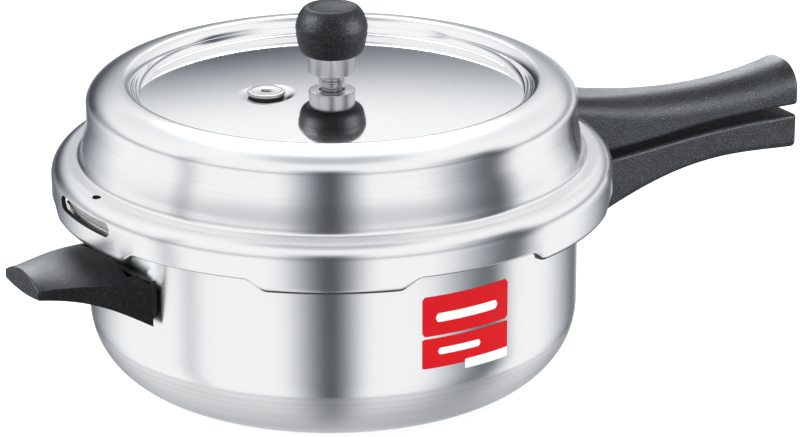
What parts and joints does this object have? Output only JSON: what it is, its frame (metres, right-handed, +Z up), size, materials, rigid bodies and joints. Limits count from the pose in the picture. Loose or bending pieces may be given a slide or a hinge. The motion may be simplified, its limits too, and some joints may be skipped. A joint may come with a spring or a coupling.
{
  "type": "stovetop pressure cooker",
  "caption": "Low round pressure pan with a domed bayonet lid, a knobbed weight on the vent tube, two long handles one above the other and a short helper handle.",
  "frame": {"origin": "centre of the pan's flat underside", "axes": "+Z up along the pan's axis; +X along the two long handles, with the helper handle on the -X side; +Y to the left when looking along +X"},
  "size_m": [0.431, 0.268, 0.18],
  "materials": {
    "polished_aluminium": "mirror polished, with a turned base",
    "black_bakelite": "semi-matt with a fine sparkle",
    "gasket_rubber": "matt, pale grey",
    "turned_steel": "turned",
    "black_enamel": "thin black paint on sheet steel",
    "plated_steel": "zinc plated",
    "rivet_aluminium": "satin",
    "fusible_alloy": "dull grey metal",
    "red_film": "glossy printed film",
    "white_film": "glossy film"
  },
  "bodies": {
    "pan": {"pan_body": "polished_aluminium", "pan_handle": "black_bakelite", "pan_handle_bracket": "black_enamel", "pan_handle_screws": "plated_steel", "pan_bracket_rivets": "rivet_aluminium", "helper_handle": "black_bakelite", "helper_bracket": "black_enamel", "helper_handle_screw": "plated_steel", "helper_bracket_rivets": "rivet_aluminium", "front_label": "red_film", "label_tag": "white_film"},
    "gasket": {"gasket": "gasket_rubber"},
    "lid": {"lid_shell": "polished_aluminium", "lid_handle": "black_bakelite", "lid_handle_bracket": "black_enamel", "lid_handle_screws": "plated_steel", "lid_bracket_rivets": "rivet_aluminium", "vent_tube": "turned_steel", "vent_washer": "turned_steel", "vent_nut": "turned_steel", "safety_valve_body": "turned_steel", "safety_valve_plug": "fusible_alloy", "safety_valve_washer": "turned_steel", "safety_valve_nut": "turned_steel"},
    "weight": {"weight_body": "turned_steel", "weight_pin": "turned_steel", "weight_knob": "black_bakelite"}
  },
  "joints": [
    {"name": "lid_lift", "type": "slide", "parent": "pan", "child": "gasket", "axis": [0, 0, 1], "range_m": [0, 0.15]},
    {"name": "lid_turn", "type": "hinge", "parent": "gasket", "child": "lid", "pos_m": [0, 0, 0.1], "axis": [0, 0, 1], "range_deg": [0, 30]},
    {"name": "weight_lift", "type": "slide", "parent": "lid", "child": "weight", "axis": [0, 0, 1], "range_m": [0, 0.045]}
  ]
}
